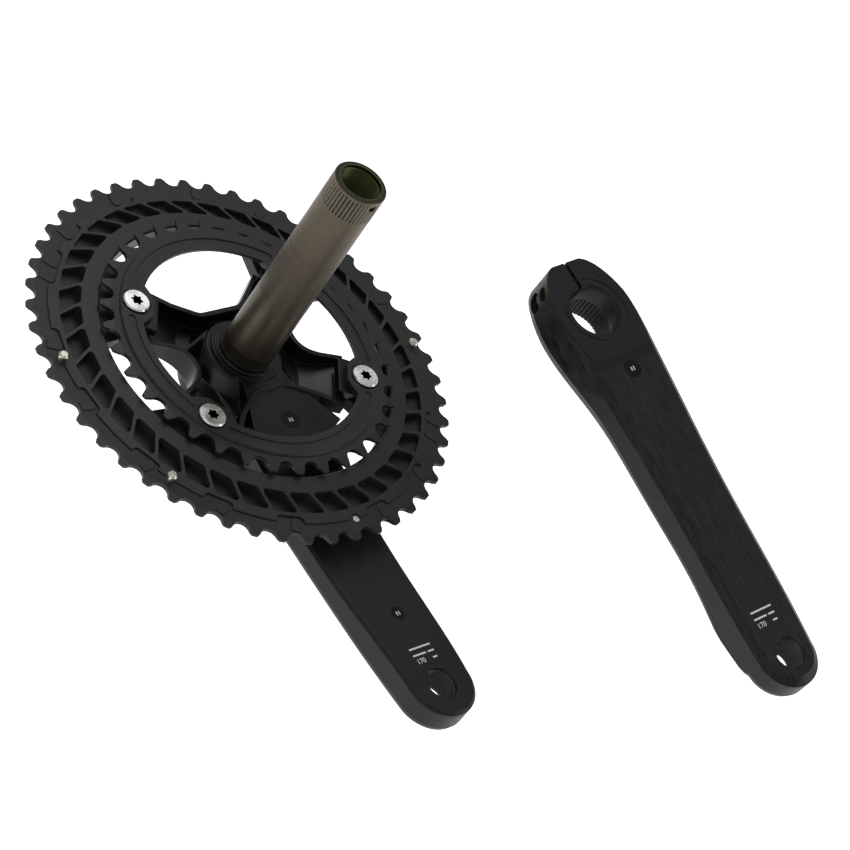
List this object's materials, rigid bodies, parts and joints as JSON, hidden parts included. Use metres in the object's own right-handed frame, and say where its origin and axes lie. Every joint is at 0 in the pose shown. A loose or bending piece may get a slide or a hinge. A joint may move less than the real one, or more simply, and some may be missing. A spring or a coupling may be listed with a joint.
{
  "type": "bicycle crankset",
  "caption": "Two-piece hollow-spindle road crankset: right arm with spider, double chainrings and spindle, beside the loose clamp-on left arm.",
  "frame": {"origin": "on the spindle axis at the bicycle's centre plane, the middle of the bottom bracket", "axes": "+Z along the spindle towards the left arm's end, +X along the right crank arm towards its pedal hole"},
  "size_m": [0.3533, 0.2369, 0.1406],
  "materials": {
    "arm_black": "gloss black anodised",
    "left_arm_black": "satin black anodised",
    "spindle_steel": "satin nickel plated",
    "ring_alloy": "satin charcoal anodised",
    "carrier_moulding": "satin charcoal moulding",
    "inner_ring_alloy": "satin charcoal anodised",
    "bolt_silver": "turned, bright",
    "insert_alloy": "plain",
    "pin_nickel": "nickel",
    "stopper_plastic": "matt",
    "pinch_steel": "bright",
    "washer_steel": "bright"
  },
  "bodies": {
    "crankset": {"right_crank_arm": "arm_black", "spindle": "spindle_steel", "outer_chainring": "ring_alloy", "outer_ring_carrier": "carrier_moulding", "inner_chainring": "inner_ring_alloy", "ring_insert_1": "insert_alloy", "ring_insert_2": "insert_alloy", "ring_insert_3": "insert_alloy", "ring_insert_4": "insert_alloy", "shift_pin_1": "pin_nickel", "shift_pin_2": "pin_nickel", "shift_pin_3": "pin_nickel", "catch_pin": "pin_nickel"},
    "chainring_bolt_1": {"chainring_bolt_1": "bolt_silver"},
    "chainring_bolt_2": {"chainring_bolt_2": "bolt_silver"},
    "chainring_bolt_3": {"chainring_bolt_3": "bolt_silver"},
    "chainring_bolt_4": {"chainring_bolt_4": "bolt_silver"},
    "left_arm": {"left_crank_arm": "left_arm_black", "stopper_pin": "pin_nickel"},
    "stopper_plate": {"stopper_plate": "stopper_plastic"},
    "pinch_washer_lower": {"pinch_washer_lower": "washer_steel"},
    "pinch_bolt_lower": {"pinch_bolt_lower": "pinch_steel"},
    "pinch_washer_upper": {"pinch_washer_upper": "washer_steel"},
    "pinch_bolt_upper": {"pinch_bolt_upper": "pinch_steel"}
  },
  "joints": [
    {"name": "chainring_bolt_1_out", "type": "slide", "parent": "crankset", "child": "chainring_bolt_1", "axis": [0, 0, 1], "range_m": [0, 0.0125]},
    {"name": "chainring_bolt_2_out", "type": "slide", "parent": "crankset", "child": "chainring_bolt_2", "axis": [0, 0, 1], "range_m": [0, 0.0125]},
    {"name": "chainring_bolt_3_out", "type": "slide", "parent": "crankset", "child": "chainring_bolt_3", "axis": [0, 0, 1], "range_m": [0, 0.0125]},
    {"name": "chainring_bolt_4_out", "type": "slide", "parent": "crankset", "child": "chainring_bolt_4", "axis": [0, 0, 1], "range_m": [0, 0.0125]},
    {"name": "left_arm_off", "type": "slide", "parent": "crankset", "child": "left_arm", "axis": [0.0958, -0.1385, 0.9857], "range_m": [0, 0.06]},
    {"name": "stopper_plate_swing", "type": "hinge", "parent": "left_arm", "child": "stopper_plate", "pos_m": [0.04695, 0.11279, 0.01958], "axis": [-0.0096, 0.9901, 0.1401], "range_deg": [0, 60]},
    {"name": "pinch_bolt_lower_out", "type": "slide", "parent": "left_arm", "child": "pinch_washer_lower", "axis": [0.0096, -0.9901, -0.1401], "range_m": [0, 0.022]},
    {"name": "pinch_bolt_lower_turn", "type": "hinge", "parent": "pinch_washer_lower", "child": "pinch_bolt_lower", "pos_m": [0.05103, 0.10406, 0.02445], "axis": [0.0096, -0.9901, -0.1401], "range_deg": [0, 7950]},
    {"name": "pinch_bolt_upper_out", "type": "slide", "parent": "left_arm", "child": "pinch_washer_upper", "axis": [-0.0096, 0.9901, 0.1401], "range_m": [0, 0.022]},
    {"name": "pinch_bolt_upper_turn", "type": "hinge", "parent": "pinch_washer_upper", "child": "pinch_bolt_upper", "pos_m": [0.0516, 0.11885, 0.03419], "axis": [-0.0096, 0.9901, 0.1401], "range_deg": [0, 7950]}
  ],
  "couplings": [
    {"joint": "pinch_bolt_lower_turn", "follows": "pinch_bolt_lower_out", "rad_per_m": 6283.2},
    {"joint": "pinch_bolt_upper_turn", "follows": "pinch_bolt_upper_out", "rad_per_m": 6283.2}
  ]
}
